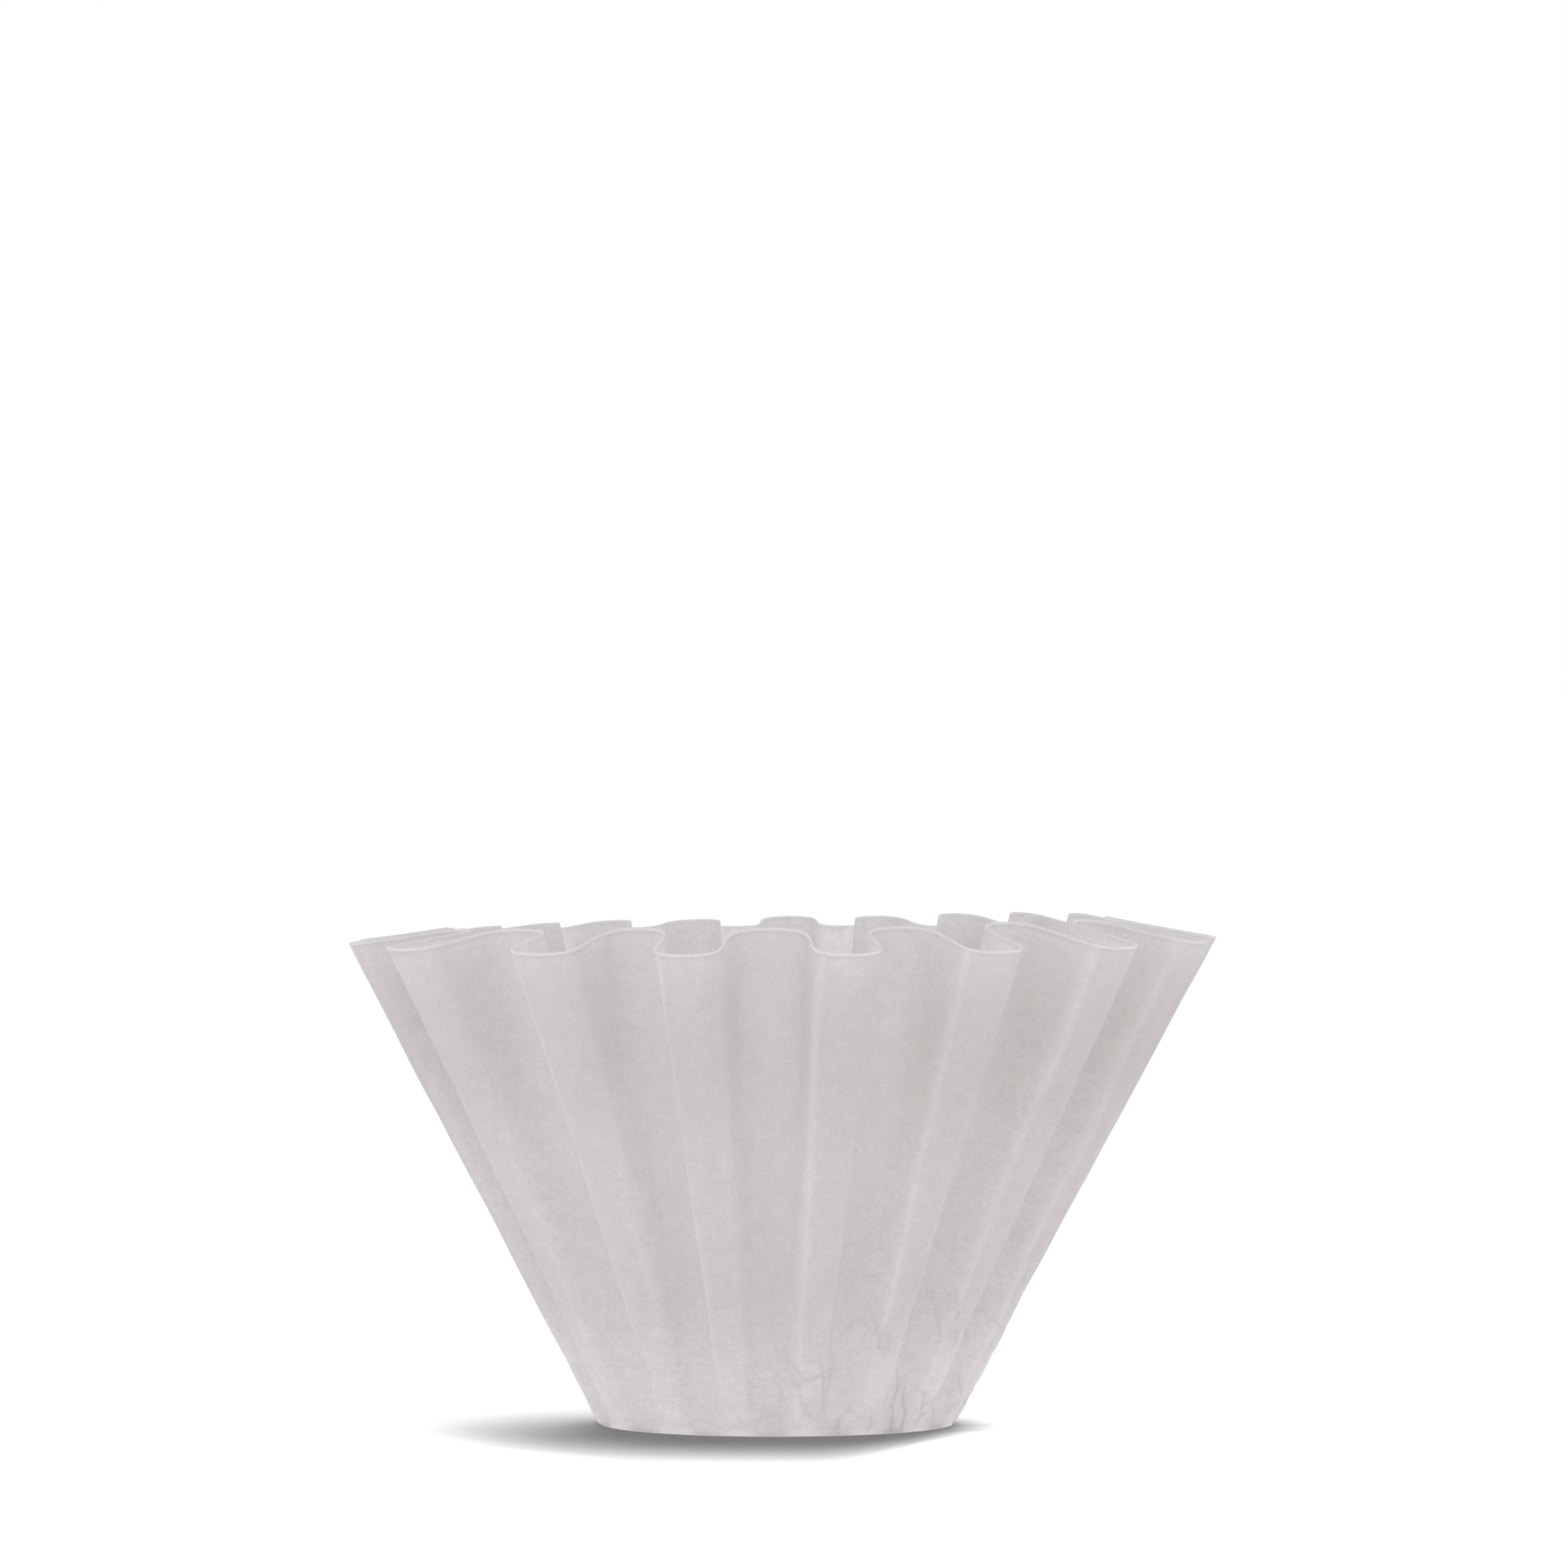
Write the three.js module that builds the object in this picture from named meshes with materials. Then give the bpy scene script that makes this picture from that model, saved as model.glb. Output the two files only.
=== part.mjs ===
// A fluted coffee filter: one round sheet of paper pressed into a flat floor and a pleated wall.
// Millimetres, +Z up. The floor lies on z = 0 with its centre on the Z axis, and the front is -Y.
import * as THREE from "three";

// The sheet and its fold
const paper_thickness = 0.2;
const fold_radius = 0.7; // outside radius of the rounded fold between floor and wall

// Overall form, on the outside of the paper
const base_radius = 22.8; // where the line of the wall would meet the table
const rim_radius = 55.7; // over the crests of the flutes
const crest_height = 62.0; // height of the rim on a crest
const rim_tilt = 0.3; // the right-hand side stands this much higher, the left-hand side lower
const rim_shift = 0.8; // the rim's centre lies this far to the right of the floor's

// Flutes. Angles are in degrees from the front (-Y) towards +X.
// Every list has one value for each flute, in order round the rim.
const flute_count = 20;
const first_crest_angle = -64.8;
const crowding = 15.6; // flutes stand wider apart in front and closer together behind
const crowding_turn = -70.5;
const flute_depth = 10.0; // from crest to groove at the rim
const flute_growth = 0.72; // power with which the depth grows up the wall
const cap_width = 0.078; // widens the rounded caps, which makes the sides between them steeper
const cap_flatness = 0.8;
const cap_narrowing = 0.026; // makes the caps on the crests narrower and those in the grooves wider
const crest_shift = [
  -7.1, -2.4, 3.8, 2.2, 1.2, -0.9, -1.8, 0, -0.4, 1.7,
  1.2, -1.7, -2.3, -1.8, -0.2, 1.5, 1.8, -0.1, -1.7, -3.6,
];
const groove_extra_depth = [4.0, 0.6, 0, 0, 0, 2.0, 2.8, 4.4, 2.5, 0, 0, 0, 0, 0, 0, 0, 0, 0, 0, 2.5];
const groove_rise = [
  2.1, 2.6, 3.0, 3.0, 3.0, 3.2, 3.0, 2.7, 2.4, 2.4,
  2.3, 2.0, 1.6, 1.6, 1.3, 1.4, 1.3, 1.2, 1.3, 1.8,
]; // how far the rim stands above crest_height in each groove
const groove_lean = [
  0, 0.03, 0, 0, -0.06, -0.06, -0.05, -0.04, 0, 0,
  0, 0, 0, 0, 0, 0, 0, 0, 0, 0,
]; // sideways lean of each groove, in flute widths

// Where points are placed on the sheet
const points_per_flute = 16;
const wall_levels = [0.06, 0.18, 0.45, 1]; // shares of the way from the table to the rim

const around = flute_count * points_per_flute;
const radians = Math.PI / 180;

// A smooth closed curve through the values of a list, one value for each whole number.
function blend(list, position) {
  const whole = Math.floor(position);
  const part = position - whole;
  const [a, b, c, d] = [-1, 0, 1, 2].map((step) => {
    return list[(((whole + step) % list.length) + list.length) % list.length];
  });
  const cubic = 3 * (b - c) + d - a;
  return b + 0.5 * part * (c - a + part * (2 * a - 5 * b + 4 * c - d + part * cubic));
}

// Angle of the sheet round the axis; the flute is 0 on the first crest, 1 on the next and so on.
function crest_angle(flute) {
  const turn = (360 * flute) / flute_count;
  const crowded = crowding * Math.sin((turn + crowding_turn) * radians);
  return first_crest_angle + turn + crowded + blend(crest_shift, flute);
}

// A point of the pleated wall; level is 0 at the table and 1 at the rim.
function wall_point(flute, level) {
  const nearby = 0.001;
  const flute_width = (crest_angle(flute + nearby) - crest_angle(flute - nearby)) / (2 * nearby);
  const swing = Math.tanh(cap_flatness * Math.cos(2 * Math.PI * flute)) / Math.tanh(cap_flatness);
  const inward = (1 - swing) / 2; // 0 on a crest, 1 in a groove
  const depth = (flute_depth + blend(groove_extra_depth, flute - 0.5)) * level ** flute_growth;
  const radius = base_radius + (rim_radius - base_radius) * level - depth * inward;
  const widening = cap_width * Math.sqrt(level) * Math.sin(4 * Math.PI * flute);
  const narrowing = cap_narrowing * level * Math.sin(2 * Math.PI * flute);
  const lean = blend(groove_lean, flute - 0.5) * level * inward;
  const angle = (crest_angle(flute) + flute_width * (widening - narrowing + lean)) * radians;
  const rise = blend(groove_rise, flute - 0.5) * inward + rim_tilt * Math.sin(angle);
  const height = level * (crest_height + rise);
  const across = radius * Math.sin(angle) + rim_shift * level;
  return new THREE.Vector3(across, -radius * Math.cos(angle), height);
}

// The rounded fold turns the sheet from the flat floor into the slope of the wall.
const slope = Math.atan2(crest_height, rim_radius - base_radius);
const fold_length = fold_radius * Math.tan(slope / 2);
const floor_radius = base_radius - fold_length;
const fold_level = fold_length / Math.hypot(crest_height, rim_radius - base_radius);

function fold_point(flute, turned) {
  const angle = crest_angle(flute) * radians;
  const radius = floor_radius + fold_radius * Math.sin(turned);
  const height = fold_radius * (1 - Math.cos(turned));
  return new THREE.Vector3(radius * Math.sin(angle), -radius * Math.cos(angle), height);
}

// Rings of points on the outside of the paper, from the floor's edge up to the rim
const rings = [
  (flute) => fold_point(flute, 0),
  (flute) => fold_point(flute, slope / 2),
  ...[fold_level, ...wall_levels].map((level) => (flute) => wall_point(flute, level)),
];
const outside = [new THREE.Vector3(0, 0, 0)];
for (const ring of rings) {
  for (let step = 0; step < around; step++) {
    outside.push(ring(step / points_per_flute));
  }
}

// Triangles of one side of the sheet: a fan over the floor, then a band between each two rings
const faces = [];
const ring_point = (ring, step) => 1 + ring * around + (step % around);
for (let step = 0; step < around; step++) {
  faces.push([0, ring_point(0, step + 1), ring_point(0, step)]);
}
for (let ring = 0; ring + 1 < rings.length; ring++) {
  for (let step = 0; step < around; step++) {
    const low = ring_point(ring, step);
    const low_next = ring_point(ring, step + 1);
    const high = ring_point(ring + 1, step);
    const high_next = ring_point(ring + 1, step + 1);
    faces.push([low, low_next, high_next], [low, high_next, high]);
  }
}

// The inside of the paper lies one thickness behind the outside.
const skin = new THREE.BufferGeometry().setFromPoints(outside);
skin.setIndex(faces.flat());
skin.computeVertexNormals();
const outward = new THREE.Vector3();
const inside = outside.map((point, index) => {
  outward.fromBufferAttribute(skin.getAttribute("normal"), index);
  return point.clone().addScaledVector(outward, -paper_thickness);
});

// Both sides together, closed along the cut edge of the rim
const behind = outside.length;
const closed = [...faces, ...faces.map(([a, b, c]) => [behind + a, behind + c, behind + b])];
for (let step = 0; step < around; step++) {
  const here = ring_point(rings.length - 1, step);
  const next = ring_point(rings.length - 1, step + 1);
  closed.push([here, next, behind + next], [here, behind + next, behind + here]);
}
const sheet = new THREE.BufferGeometry().setFromPoints([...outside, ...inside]);
sheet.setIndex(closed.flat());
sheet.computeVertexNormals();

const filter_paper = new THREE.MeshStandardMaterial({ color: 0xe4e0de, roughness: 0.95, metalness: 0 });
const paper_filter = new THREE.Mesh(sheet, filter_paper);
paper_filter.name = "paper_filter";

const coffee_filter = new THREE.Group();
coffee_filter.name = "coffee_filter";
coffee_filter.add(paper_filter);

export default coffee_filter;
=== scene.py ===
import math

import bpy
import numpy as np
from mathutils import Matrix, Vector


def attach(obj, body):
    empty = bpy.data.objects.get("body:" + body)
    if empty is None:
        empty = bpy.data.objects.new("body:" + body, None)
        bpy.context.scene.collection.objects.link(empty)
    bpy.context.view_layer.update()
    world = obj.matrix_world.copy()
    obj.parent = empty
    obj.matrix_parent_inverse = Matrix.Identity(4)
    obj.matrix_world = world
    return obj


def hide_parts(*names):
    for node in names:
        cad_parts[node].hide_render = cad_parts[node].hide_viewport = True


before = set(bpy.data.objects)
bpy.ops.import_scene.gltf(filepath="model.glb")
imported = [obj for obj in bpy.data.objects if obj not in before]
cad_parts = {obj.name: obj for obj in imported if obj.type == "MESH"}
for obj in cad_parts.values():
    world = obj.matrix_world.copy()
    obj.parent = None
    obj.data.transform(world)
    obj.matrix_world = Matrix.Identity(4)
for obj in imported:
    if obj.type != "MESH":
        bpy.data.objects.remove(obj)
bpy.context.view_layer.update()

MM = 0.001

# The pressed sheet, in millimetres, on the outside of the paper. These sizes are the part's own.
paper_thickness = 0.2
fold_radius = 0.7
base_radius = 22.8
rim_radius = 55.7
crest_height = 62.0
rim_tilt = 0.3
rim_shift = 0.8

# Flutes: angles in degrees from the front (-Y) towards +X, and one value for each flute in each list
flute_count = 20
first_crest_angle = -64.8
crowding = 15.6
crowding_turn = -70.5
flute_depth = 10.0
flute_growth = 0.72
cap_width = 0.078
cap_flatness = 0.8
cap_narrowing = 0.026
crest_shift = [-7.1, -2.4, 3.8, 2.2, 1.2, -0.9, -1.8, 0, -0.4, 1.7,
               1.2, -1.7, -2.3, -1.8, -0.2, 1.5, 1.8, -0.1, -1.7, -3.6]
groove_extra_depth = [4.0, 0.6, 0, 0, 0, 2.0, 2.8, 4.4, 2.5, 0, 0, 0, 0, 0, 0, 0, 0, 0, 0, 2.5]
groove_rise = [2.1, 2.6, 3.0, 3.0, 3.0, 3.2, 3.0, 2.7, 2.4, 2.4,
               2.3, 2.0, 1.6, 1.6, 1.3, 1.4, 1.3, 1.2, 1.3, 1.8]
groove_lean = [0, 0.03, 0, 0, -0.06, -0.06, -0.05, -0.04, 0, 0, 0, 0, 0, 0, 0, 0, 0, 0, 0, 0]

# The crease line along each edge of a crest, in flute widths from the middle of the crest
crease_from_middle = 0.135
crease_width = 0.02
right_crease = 0.3  # how strong the line on the right is, beside the one on the left
crease_height = 0.1  # millimetres
floor_edge_highlight = 1.6  # how strongly the edge of the floor is whitened as a painted highlight, beside a crest's line

# How finely the sheet is drawn: points about 1 mm apart round the rim, and rows 0.7 to 1.4 mm apart
points_per_flute = 32
wall_rows = 58
row_crowding = 1.15  # above 1, rows stand closer together low on the wall
floor_rings = (5.0, 12.0, 18.5)
fold_steps = (0, 1 / 3, 2 / 3)
around = flute_count * points_per_flute


# The sheet's form

def blend(values, position):
    """A smooth closed curve through a list, with one value at each whole number."""
    values = np.asarray(values, float)
    whole = np.floor(position).astype(int)
    part = position - whole
    a, b, c, d = (values[(whole + step) % len(values)] for step in (-1, 0, 1, 2))
    return b + 0.5 * part * (c - a + part * (2 * a - 5 * b + 4 * c - d + part * (3 * (b - c) + d - a)))


def crest_angle(flute):
    """Angle of the sheet round the axis: the flute is 0 on the first crest, 1 on the next and so on."""
    turn = 360 * flute / flute_count
    crowded = crowding * np.sin(np.radians(turn + crowding_turn))
    return first_crest_angle + turn + crowded + blend(crest_shift, flute)


def swing(flute):
    """From 1 on the crest of a flute to -1 in its groove, with rounded caps."""
    return np.tanh(cap_flatness * np.cos(2 * np.pi * flute)) / np.tanh(cap_flatness)


def uneven(seed, flute, level, cells_around, cells_up, sharp=False):
    """Random heights from -1 to 1 over the sheet, which meet again all the way round.
    Sharp ones change slope suddenly, as creased paper does."""
    heights = np.random.default_rng(seed).uniform(-1, 1, (cells_up + 2, cells_around))
    x = (flute / flute_count % 1) * cells_around
    y = np.clip(level, 0, 1) * cells_up
    column, row = np.floor(x).astype(int), np.floor(y).astype(int)
    x, y = x - column, y - row
    if not sharp:
        y = y * y * (3 - 2 * y)
    x = x * x * (3 - 2 * x)
    near, far = column % cells_around, (column + 1) % cells_around
    low = heights[row, near] * (1 - x) + heights[row, far] * x
    high = heights[row + 1, near] * (1 - x) + heights[row + 1, far] * x
    return low * (1 - y) + high * y


def fading(level, none_at, full_at):
    """Rises smoothly from 0 where the level is none_at to 1 where it is full_at."""
    share = np.clip((level - none_at) / (full_at - none_at), 0, 1)
    return share * share * (3 - 2 * share)


def creased(flute, level):
    """The crease lines along each edge of a crest, most on its left. They raise the paper a little, and a
    painted highlight in the paper's colour follows them.
    """
    beside = flute - np.round(flute)
    line = np.exp(-((beside + crease_from_middle) / crease_width) ** 2)
    line = line + right_crease * np.exp(-((beside - crease_from_middle) / crease_width) ** 2)
    patchy = 0.75 + 0.25 * uneven(31, flute, level, 60, 9)
    return line * patchy * fading(level, 0.02, 0.2)


def painted_shade_share(flute, level):
    """Painted shade on the outer face: darker on the crests, in the grooves, and most near the rim."""
    on_ribs = (0.38 + 0.42 * swing(flute) ** 2) * fading(level, 0.03, 0.32)
    return on_ribs + 0.42 * fading(level, 0.5, 0.9)


def wall_points(flute, level):
    """The pleated wall, with the small unevenness that pressing and handling leave in it."""
    low_down = fading(level, 0.42, 0.06)
    rightward = 0.5 + 0.5 * np.sin(np.radians(crest_angle(flute)))
    # crest lines wander and kink, most of all where the flutes run out above the floor
    wander = 0.02 * uneven(11, flute, level, 20, 5) * (1 - low_down)
    wander += 0.055 * uneven(12, flute, level, 40, 16, sharp=True) * low_down * fading(level, 0, 0.05)
    flute = flute + wander

    nearby = 0.001
    flute_width = (crest_angle(flute + nearby) - crest_angle(flute - nearby)) / (2 * nearby)
    inward = (1 - swing(flute)) / 2  # 0 on a crest, 1 in a groove
    depth = (flute_depth + blend(groove_extra_depth, flute - 0.5)) * level ** flute_growth
    radius = base_radius + (rim_radius - base_radius) * level - depth * inward
    widening = cap_width * np.sqrt(level) * np.sin(4 * np.pi * flute)
    narrowing = cap_narrowing * level * np.sin(2 * np.pi * flute)
    lean = blend(groove_lean, flute - 0.5) * level * inward
    angle = np.radians(crest_angle(flute) + flute_width * (widening - narrowing + lean))
    rise = blend(groove_rise, flute - 0.5) * inward + rim_tilt * np.sin(angle)
    height = level * (crest_height + rise)

    # broad soft dents all over, and sharp little crumples low down, more of them on the right
    dents = 0.11 * uneven(21, flute, level, 60, 7) + 0.06 * uneven(22, flute, level, 110, 14)
    crumples = 0.36 * np.abs(uneven(23, flute, level, 84, 30, sharp=True)) - 0.15
    crumples += 0.2 * np.abs(uneven(24, flute, level, 150, 52, sharp=True)) - 0.08
    radius = radius + dents * fading(level, 0, 0.1) + crease_height * creased(flute, level)
    radius = radius - crumples * (0.35 + 0.65 * rightward) * low_down * fading(level, 0, 0.03)
    return np.stack([radius * np.sin(angle) + rim_shift * level, -radius * np.cos(angle), height], -1)


def round_points(flute, radius, height):
    """A ring of points where the sheet has no flutes, on the floor and on the fold."""
    angle = np.radians(crest_angle(flute))
    return np.stack([radius * np.sin(angle), -radius * np.cos(angle), height + 0 * angle], -1)


# The rounded fold turns the sheet from the flat floor into the slope of the wall.
slope = math.atan2(crest_height, rim_radius - base_radius)
fold_length = fold_radius * math.tan(slope / 2)
floor_radius = base_radius - fold_length
fold_level = fold_length / math.hypot(crest_height, rim_radius - base_radius)


def pressed_sheet():
    """The whole filter as one closed solid sheet: outside, inside, and the cut edge of the rim."""
    flute = np.arange(around) / points_per_flute
    every = np.ones_like(flute)
    rings = [round_points(flute, radius, 0.0) for radius in floor_rings]
    for turned in (slope * share for share in fold_steps):
        radius = floor_radius + fold_radius * np.sin(turned)
        rings.append(round_points(flute, radius, fold_radius * (1 - np.cos(turned))))
    below_wall = len(rings)
    levels = fold_level + (1 - fold_level) * np.linspace(0, 1, wall_rows) ** row_crowding
    rings += [wall_points(flute, level * every) for level in levels]
    outside = np.concatenate([[[0.0, 0.0, 0.0]], *rings])

    step = np.arange(around)
    following = (step + 1) % around
    fan = np.stack([0 * step, 1 + following, 1 + step], -1)
    quads = []
    for ring in range(len(rings) - 1):
        low, high = 1 + ring * around, 1 + (ring + 1) * around
        quads.append(np.stack([low + step, low + following, high + following, high + step], -1))
    quads = np.concatenate(quads)

    # one thickness behind the outside, along the average direction of the faces round each point
    outward = np.zeros_like(outside)
    for faces in (fan, quads):
        corner = outside[faces[:, :3]]
        facing = np.cross(corner[:, 1] - corner[:, 0], corner[:, 2] - corner[:, 0])
        for column in range(faces.shape[1]):
            np.add.at(outward, faces[:, column], facing)
    outward /= np.linalg.norm(outward, axis=1)[:, None]
    inside = outside - outward * paper_thickness

    behind = len(outside)
    rim = 1 + (len(rings) - 1) * around
    cut_edge = np.stack(
        [rim + step, rim + following, behind + rim + following, behind + rim + step], -1)
    points = np.concatenate([outside, inside]) * MM
    faces = [*fan.tolist(), *quads.tolist(), *cut_edge.tolist()]
    faces += (fan[:, ::-1] + behind).tolist() + (quads[:, ::-1] + behind).tolist()

    mesh = bpy.data.meshes.new("filter_sheet")
    mesh.from_pydata(points.tolist(), [], faces)
    mesh.validate()
    mesh.shade_smooth()

    # three measures of each point, which the paper's colour follows
    up = np.concatenate([np.zeros(1 + below_wall * around), np.repeat(levels, around)])
    # painted highlight: how much the colour is whitened along the crease lines and the edge of the floor
    highlight_share = np.concatenate([creased(flute, level * every) for level in levels])
    highlight_share[:around] = floor_edge_highlight
    edge_rings = 2  # rings of the fold that belong to the floor's edge
    highlight_share = np.concatenate([np.zeros(1 + (below_wall - edge_rings) * around),
                             np.full(edge_rings * around, floor_edge_highlight), highlight_share])
    # painted shade, on the outer face only: darker on the crests, in the grooves and near the rim
    painted_shade = np.concatenate([np.zeros(1 + below_wall * around), *(painted_shade_share(flute, level) for level in levels)])
    for name, outer, inner in (("up_the_wall", up, up), ("creased", highlight_share, highlight_share),
                               ("painted_shade", painted_shade, 0 * painted_shade)):
        share = mesh.attributes.new(name, "FLOAT", "POINT")
        share.data.foreach_set("value", np.concatenate([outer, inner]).astype(np.float32))
    return placed("filter_sheet", mesh)


def placed(name, data):
    """A new object in the scene that shows this mesh, lamp or camera."""
    thing = bpy.data.objects.new(name, data)
    bpy.context.scene.collection.objects.link(thing)
    return thing


# Colours and materials

def colour(code):
    """An sRGB hex colour as linear red, green, blue and alpha."""
    parts = [int(code[i:i + 2], 16) / 255 for i in (1, 3, 5)]
    return [p / 12.92 if p <= 0.04045 else ((p + 0.055) / 1.055) ** 2.4 for p in parts] + [1.0]


def add(tree, kind, settings=None, **links):
    """A node of this kind with its settings, its values and its links. An input is named with _ for each
    space, or by i and its number."""
    node = tree.nodes.new(kind)
    for name, value in (settings or {}).items():
        setattr(node, name, value)
    for name, value in links.items():
        key = int(name[1:]) if name[0] == "i" and name[1:].isdigit() else name.replace("_", " ")
        socket = node.inputs[key]
        if isinstance(value, bpy.types.NodeSocket):
            tree.links.new(value, socket)
        else:
            socket.default_value = value
    return node


def seen_directly(tree):
    """1 for what the camera sees, also in a reflection or through something clear, and 0 for light that
    only falls on the filter."""
    rays = add(tree, "ShaderNodeLightPath")
    seen = add(tree, "ShaderNodeMath", {"operation": "MAXIMUM"}, i0=rays.outputs["Is Camera Ray"],
               i1=rays.outputs["Is Glossy Ray"]).outputs[0]
    return add(tree, "ShaderNodeMath", {"operation": "MAXIMUM"}, i0=seen,
               i1=rays.outputs["Is Transmission Ray"]).outputs[0]


def new_material(name):
    material = bpy.data.materials.new(name)
    material.use_nodes = True
    material.node_tree.nodes.clear()
    return material, material.node_tree


def bleached_filter_paper():
    """Wet-laid wood-pulp paper, bleached and lightly creped. It is matt and lets light through, with clouds
    of thicker and thinner pulp about 2 mm across, fibres about 0.5 mm apart, and fine crepe lines round it."""
    material, tree = new_material("bleached_filter_paper")
    softly = {"interpolation_type": "SMOOTHSTEP"}
    mixing = {"data_type": "RGBA"}
    times = {"operation": "MULTIPLY"}
    place = add(tree, "ShaderNodeTexCoord").outputs["Object"]
    axes = add(tree, "ShaderNodeSeparateXYZ", None, Vector=place).outputs
    height, across = axes["Z"], axes["X"]
    clouds = add(tree, "ShaderNodeTexNoise", None, Vector=place, Scale=1 / (1.8 * MM), Detail=2.0,
                 Roughness=0.6).outputs["Fac"]
    fibres = add(tree, "ShaderNodeTexNoise", None, Vector=place, Scale=1 / (0.45 * MM), Detail=2.0,
                 Roughness=0.7, Distortion=0.8).outputs["Fac"]
    # crepe lines lie round the filter, about 0.7 mm apart and 3 mm long
    stretched = add(tree, "ShaderNodeVectorMath", times, i0=place,
                    i1=(1 / (3.0 * MM), 1 / (3.0 * MM), 1 / (0.7 * MM))).outputs["Vector"]
    crepe = add(tree, "ShaderNodeTexNoise", None, Vector=stretched, Scale=1.0, Detail=2.0,
                Roughness=0.5, Distortion=0.6).outputs["Fac"]

    # the paper is whiter where the pulp is thick
    mottle = add(tree, "ShaderNodeMix", {"data_type": "FLOAT"}, i0=0.76, i2=clouds, i3=fibres).outputs[0]
    thick = add(tree, "ShaderNodeMapRange", None, Value=mottle, From_Min=0.35, From_Max=0.65)
    tone = add(tree, "ShaderNodeMix", mixing, i0=thick.outputs["Result"], i6=colour("#E4DFDF"),
               i7=colour("#FEFCFC")).outputs[2]
    # the crepe fades out between 8 and 34 mm up, because the pressing gathered the paper most near the floor
    gathered = add(tree, "ShaderNodeMapRange", softly, Value=height, From_Min=34 * MM, From_Max=8 * MM,
                   To_Min=0.3, To_Max=1.0).outputs["Result"]
    crepe = add(tree, "ShaderNodeMath", times, i0=crepe, i1=gathered).outputs[0]
    crepe_tops = add(tree, "ShaderNodeMapRange", softly, Value=crepe, From_Min=0.54, From_Max=0.66,
                     To_Min=0.0, To_Max=0.35).outputs["Result"]
    tone = add(tree, "ShaderNodeMix", mixing, i0=crepe_tops, i6=tone, i7=colour("#FFFFFE")).outputs[2]

    # sharp creases from handling, low down and mostly on the right: the edges of jagged cells about 3.5 mm
    # wide and 14 mm high, in patches about 7 mm across. They shape the bumps, and their colour is darkened as
    # painted shade
    jolt = add(tree, "ShaderNodeTexNoise", None, Vector=place, Scale=1 / (4.0 * MM),
               Detail=2.0).outputs["Color"]
    jolt = add(tree, "ShaderNodeVectorMath", {"operation": "MULTIPLY_ADD"}, i0=jolt,
               i1=(2.4 * MM, 2.4 * MM, 5.0 * MM), i2=place).outputs["Vector"]
    cells = add(tree, "ShaderNodeVectorMath", times, i0=jolt,
                i1=(1 / (3.5 * MM), 1 / (3.5 * MM), 1 / (14.0 * MM))).outputs["Vector"]
    from_edge = add(tree, "ShaderNodeTexVoronoi", {"feature": "DISTANCE_TO_EDGE"}, Vector=cells,
                    Scale=1.0).outputs["Distance"]
    crease = add(tree, "ShaderNodeMapRange", None, Value=from_edge, From_Min=0.0, From_Max=0.075,
                 To_Min=1.0, To_Max=0.0).outputs["Result"]
    low_down = add(tree, "ShaderNodeMapRange", softly, Value=height, From_Min=26 * MM,
                   From_Max=9 * MM).outputs["Result"]
    rightward = add(tree, "ShaderNodeMapRange", softly, Value=across, From_Min=-12 * MM, From_Max=14 * MM,
                    To_Min=0.15, To_Max=1.0).outputs["Result"]
    patches = add(tree, "ShaderNodeTexNoise", None, Vector=place, Scale=1 / (7.0 * MM),
                  Detail=1.0).outputs["Fac"]
    patches = add(tree, "ShaderNodeMapRange", softly, Value=patches, From_Min=0.42,
                  From_Max=0.58).outputs["Result"]
    for share in (low_down, rightward, patches):
        crease = add(tree, "ShaderNodeMath", times, i0=crease, i1=share).outputs[0]
    # painted shade in the creases: their colour is darkened
    crease_shade = add(tree, "ShaderNodeMath", times, i0=crease, i1=0.26).outputs[0]
    tone = add(tree, "ShaderNodeMix", mixing, i0=crease_shade, i6=tone, i7=colour("#B9B3B1")).outputs[2]

    # painted shade: a little greyer on the crests, in the grooves and near the rim, on the outer face only
    painted_shade = add(tree, "ShaderNodeAttribute", {"attribute_name": "painted_shade"}).outputs["Fac"]
    tone = add(tree, "ShaderNodeMix", {"data_type": "RGBA", "blend_type": "MULTIPLY"}, i0=painted_shade, i6=tone,
               i7=colour("#C9C7C6")).outputs[2]
    # painted highlight: whiter along the crease lines of the crests and along the edge of the floor
    fold = add(tree, "ShaderNodeAttribute", {"attribute_name": "creased"}).outputs["Fac"]
    fold = add(tree, "ShaderNodeMath", times, i0=fold, i1=0.48).outputs[0]
    tone = add(tree, "ShaderNodeMix", mixing, i0=fold, i6=tone, i7=colour("#FFFDFC")).outputs[2]
    # a painted highlight: white along the cut edge, in the last 0.4 mm of the wall, which is 70 mm long
    up = add(tree, "ShaderNodeAttribute", {"attribute_name": "up_the_wall"}).outputs["Fac"]
    cut_edge = add(tree, "ShaderNodeMapRange", softly, Value=up, From_Min=1 - 0.4 / 70,
                   From_Max=1 - 0.15 / 70).outputs["Result"]
    tint = add(tree, "ShaderNodeMix", mixing, i0=cut_edge, i6=tone, i7=colour("#FBF9F8")).outputs[2]

    relief = add(tree, "ShaderNodeMath", {"operation": "MULTIPLY_ADD"}, i0=fibres, i1=0.5,
                 i2=crepe).outputs[0]
    relief = add(tree, "ShaderNodeMath", {"operation": "SUBTRACT"}, i0=relief, i1=crease).outputs[0]
    bumps = add(tree, "ShaderNodeBump", None, Strength=0.8, Distance=0.16 * MM,
                Height=relief).outputs["Normal"]
    roughness = add(tree, "ShaderNodeMapRange", None, Value=fibres, To_Min=0.86,
                    To_Max=0.98).outputs["Result"]

    surface = add(tree, "ShaderNodeBsdfPrincipled", None, Base_Color=tint, Roughness=roughness, IOR=1.47,
                  Normal=bumps, Specular_IOR_Level=0.25)
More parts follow.
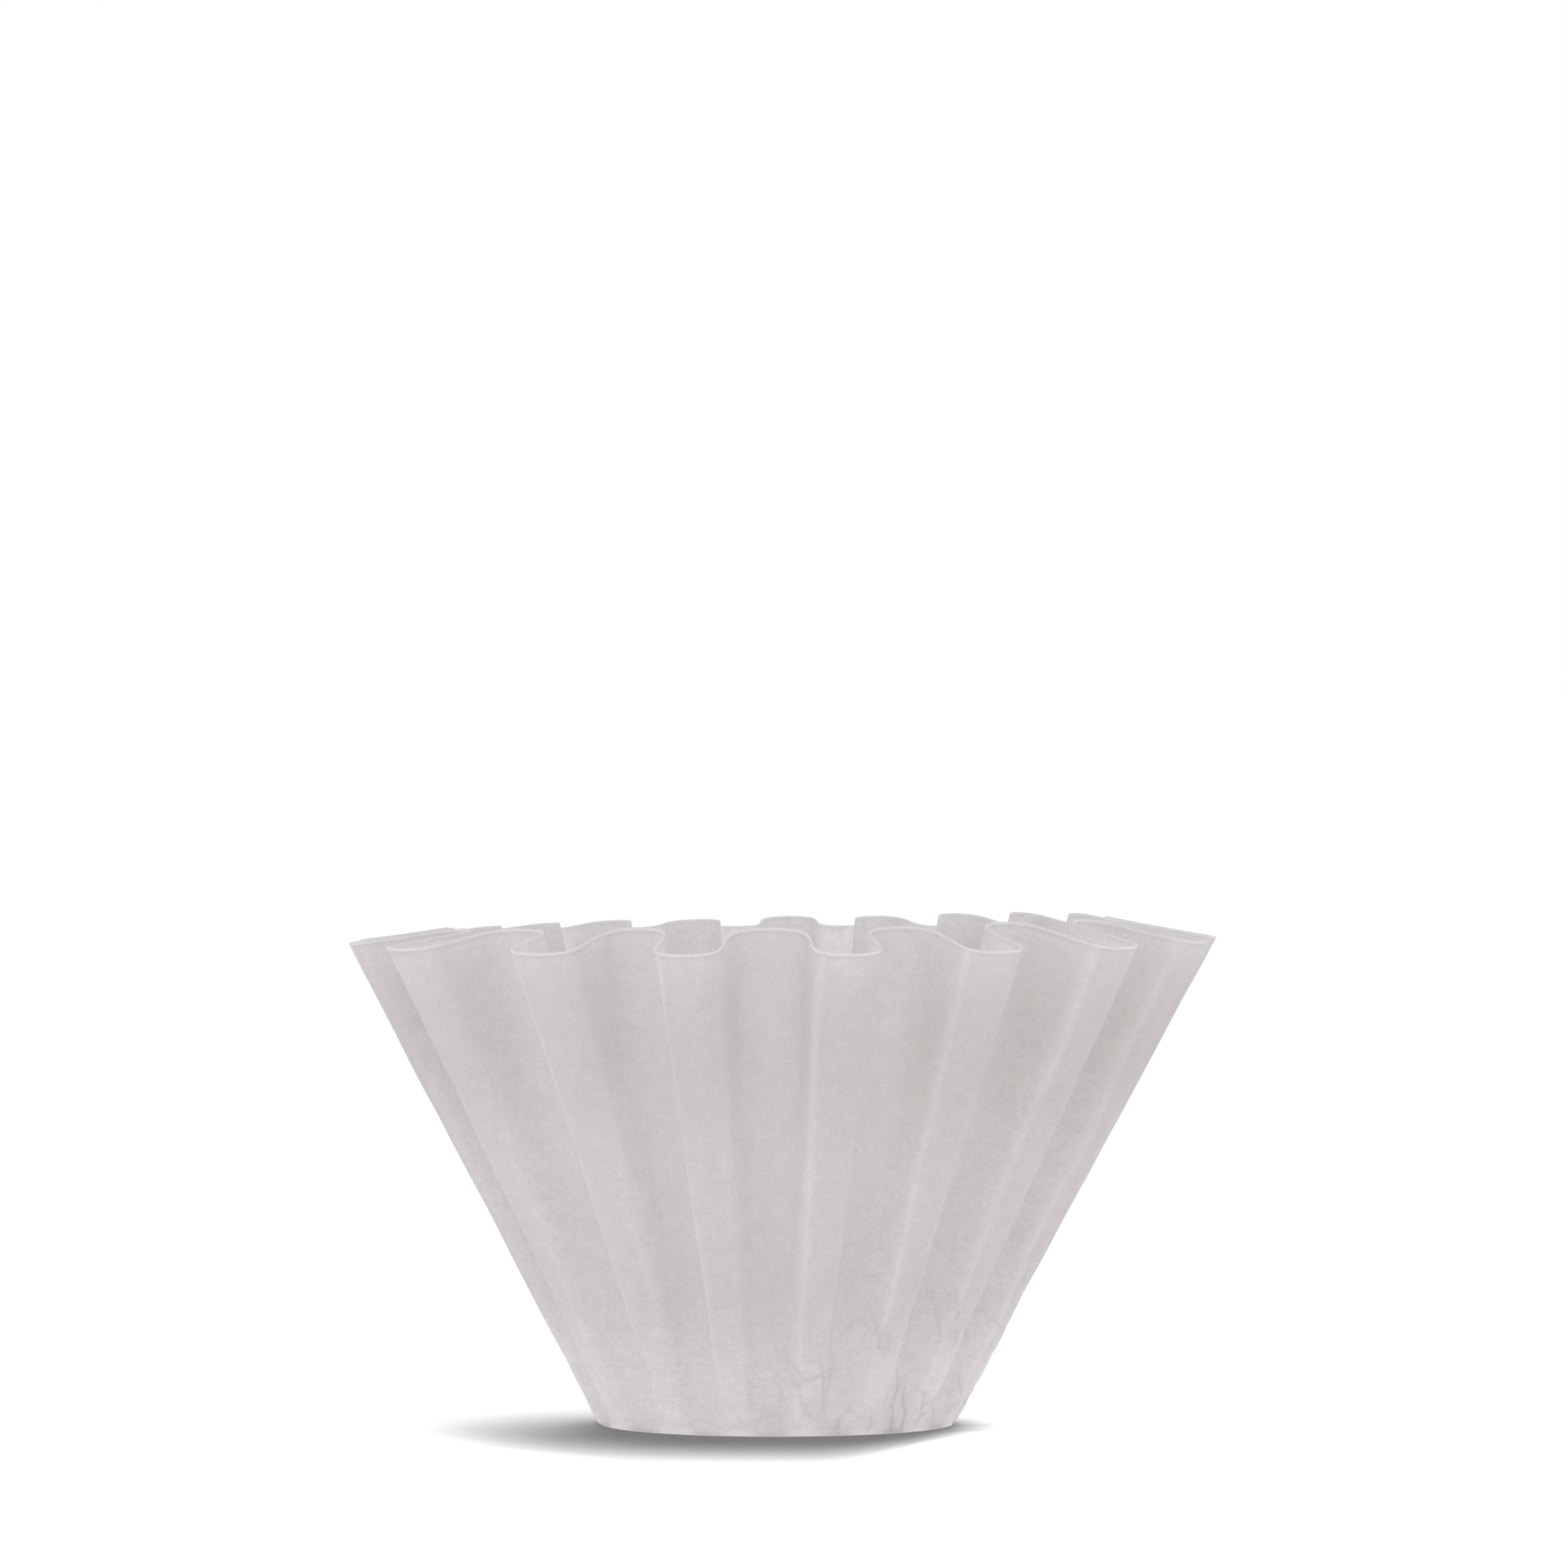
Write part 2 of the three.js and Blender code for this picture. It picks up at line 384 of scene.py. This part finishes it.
    # the light that comes through is nearly white, and takes only a little of the paper's tint
    glow = add(tree, "ShaderNodeMix", mixing, i0=0.8, i6=tint, i7=colour("#FFFEFE")).outputs[2]
    through = add(tree, "ShaderNodeBsdfTranslucent", None, Color=glow, Normal=bumps)
    both = add(tree, "ShaderNodeMixShader", None, Fac=0.7, i1=surface.outputs[0], i2=through.outputs[0])
    add(tree, "ShaderNodeOutputMaterial", None, Surface=both.outputs[0])
    return material


def lit_table_top():
    """White acrylic, lit softly from below, as small goods are photographed on. The camera and reflections
    see it as white, with a shade under the filter."""
    material, tree = new_material("lit_white_acrylic")
    softly = {"interpolation_type": "SMOOTHSTEP"}
    seen = seen_directly(tree)
    # The shade is how much the filter hides of the room behind it, where most light comes from. It reaches
    # 42 mm in front of the filter, less on its left and least on its right.
    place = add(tree, "ShaderNodeTexCoord").outputs["Object"]
    across = add(tree, "ShaderNodeSeparateXYZ", None, Vector=place).outputs["X"]
    left_reach = add(tree, "ShaderNodeMapRange", softly, Value=across, From_Min=-48 * MM,
                     From_Max=-14 * MM, To_Min=25 * MM, To_Max=42 * MM).outputs["Result"]
    right_reach = add(tree, "ShaderNodeMapRange", softly, Value=across, From_Min=4 * MM,
                      From_Max=25 * MM, To_Min=42 * MM, To_Max=7 * MM).outputs["Result"]
    reach = add(tree, "ShaderNodeMath", {"operation": "MINIMUM"}, i0=left_reach, i1=right_reach).outputs[0]
    light_side = add(tree, "ShaderNodeCombineXYZ", None, X=0.1, Y=0.8, Z=0.5).outputs["Vector"]
    open_round = add(tree, "ShaderNodeAmbientOcclusion", {"samples": 16}, Distance=reach,
                     Normal=light_side).outputs["AO"]
    shade = add(tree, "ShaderNodeMapRange", None, Value=open_round, From_Min=0.45, From_Max=0.95,
                To_Min=0.19, To_Max=1.0).outputs["Result"]
    shade = add(tree, "ShaderNodeMix", {"data_type": "FLOAT"}, i0=seen, i2=1.0, i3=shade).outputs[0]

    paint = add(tree, "ShaderNodeMix", {"data_type": "RGBA"}, i0=seen, i6=colour("#F2F2F2"),
                i7=colour("#A8A8A8")).outputs[2]
    paint = add(tree, "ShaderNodeMix", {"data_type": "RGBA"}, i0=shade, i6=colour("#000000"),
                i7=paint).outputs[2]
    matt = add(tree, "ShaderNodeBsdfDiffuse", None, Color=paint)
    lift = add(tree, "ShaderNodeMix", {"data_type": "FLOAT"}, i0=seen, i2=0.5, i3=0.84).outputs[0]
    lift = add(tree, "ShaderNodeMath", {"operation": "MULTIPLY"}, i0=lift, i1=shade).outputs[0]
    glow = add(tree, "ShaderNodeEmission", None, Color=colour("#FFFFFF"), Strength=lift)
    both = add(tree, "ShaderNodeAddShader", None, i0=matt.outputs[0], i1=glow.outputs[0])
    add(tree, "ShaderNodeOutputMaterial", None, Surface=both.outputs[0])
    return material


# The filter

sheet = pressed_sheet()
sheet.data.materials.append(bleached_filter_paper())
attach(sheet, "root")
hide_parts("paper_filter")


# Floor, light and camera

def studio_floor():
    """A 12 m square, a hair below the filter's floor."""
    half = 6.0
    corners = [(-half, -half, 0), (half, -half, 0), (half, half, 0), (-half, half, 0)]
    mesh = bpy.data.meshes.new("studio_floor")
    mesh.from_pydata(corners, [], [(0, 1, 2, 3)])
    floor = placed("studio_floor", mesh)
    floor.location.z = -0.02 * MM
    floor.data.materials.append(lit_table_top())


def white_room(ceiling, walls):
    """Even light from all round, brighter from the ceiling of the room than from its walls; the camera and
    reflections see it as white."""
    world = bpy.data.worlds.new("white_room")
    bpy.context.scene.world = world
    world.use_nodes = True
    tree = world.node_tree
    tree.nodes.clear()
    towards = add(tree, "ShaderNodeTexCoord").outputs["Generated"]
    up = add(tree, "ShaderNodeSeparateXYZ", None, Vector=towards).outputs["Z"]
    light = add(tree, "ShaderNodeMapRange", {"interpolation_type": "SMOOTHSTEP"}, Value=up, From_Min=0.0,
                From_Max=0.6, To_Min=walls, To_Max=ceiling).outputs["Result"]
    light = add(tree, "ShaderNodeMix", {"data_type": "FLOAT"}, i0=seen_directly(tree), i2=light,
                i3=1.0).outputs[0]
    sky = add(tree, "ShaderNodeBackground", None, Color=colour("#FFFFFF"), Strength=light)
    add(tree, "ShaderNodeOutputWorld", None, Surface=sky.outputs[0])


def far_softbox(name, turn, height, spread, strength):
    """A wide, even light from far off: turn is its angle from the front towards the right, height its angle
    above the floor, and spread how wide it looks from the filter, all in degrees."""
    lamp = bpy.data.lights.new(name, "SUN")
    lamp.angle = math.radians(spread)
    lamp.energy = strength
    box = placed(name, lamp)
    turn, height = math.radians(turn), math.radians(height)
    level = math.cos(height)
    towards = Vector((math.sin(turn) * level, -math.cos(turn) * level, math.sin(height)))
    box.rotation_mode = "QUATERNION"
    box.rotation_quaternion = towards.to_track_quat("Z", "Y")


def long_lens_camera():
    """1.55 m in front and 114 mm above the table, as in the photograph."""
    lens = bpy.data.cameras.new("camera")
    lens.sensor_width = 36
    lens.lens = 278.0
    lens.clip_start = 0.05
    lens.clip_end = 30
    camera = placed("camera", lens)
    camera.location = (0.9 * MM, -1550 * MM, 114 * MM)
    aim = Vector((0.9 * MM, 0, 82 * MM))
    camera.rotation_mode = "QUATERNION"
    camera.rotation_quaternion = (camera.location - aim).to_track_quat("Z", "Y")
    bpy.context.scene.camera = camera


studio_floor()
white_room(ceiling=0.585, walls=0.39)
far_softbox("key_softbox", turn=-45, height=40, spread=80, strength=0.24)
far_softbox("back_softbox", turn=125, height=60, spread=40, strength=0.22)
long_lens_camera()
bpy.context.scene.view_settings.view_transform = "Standard"
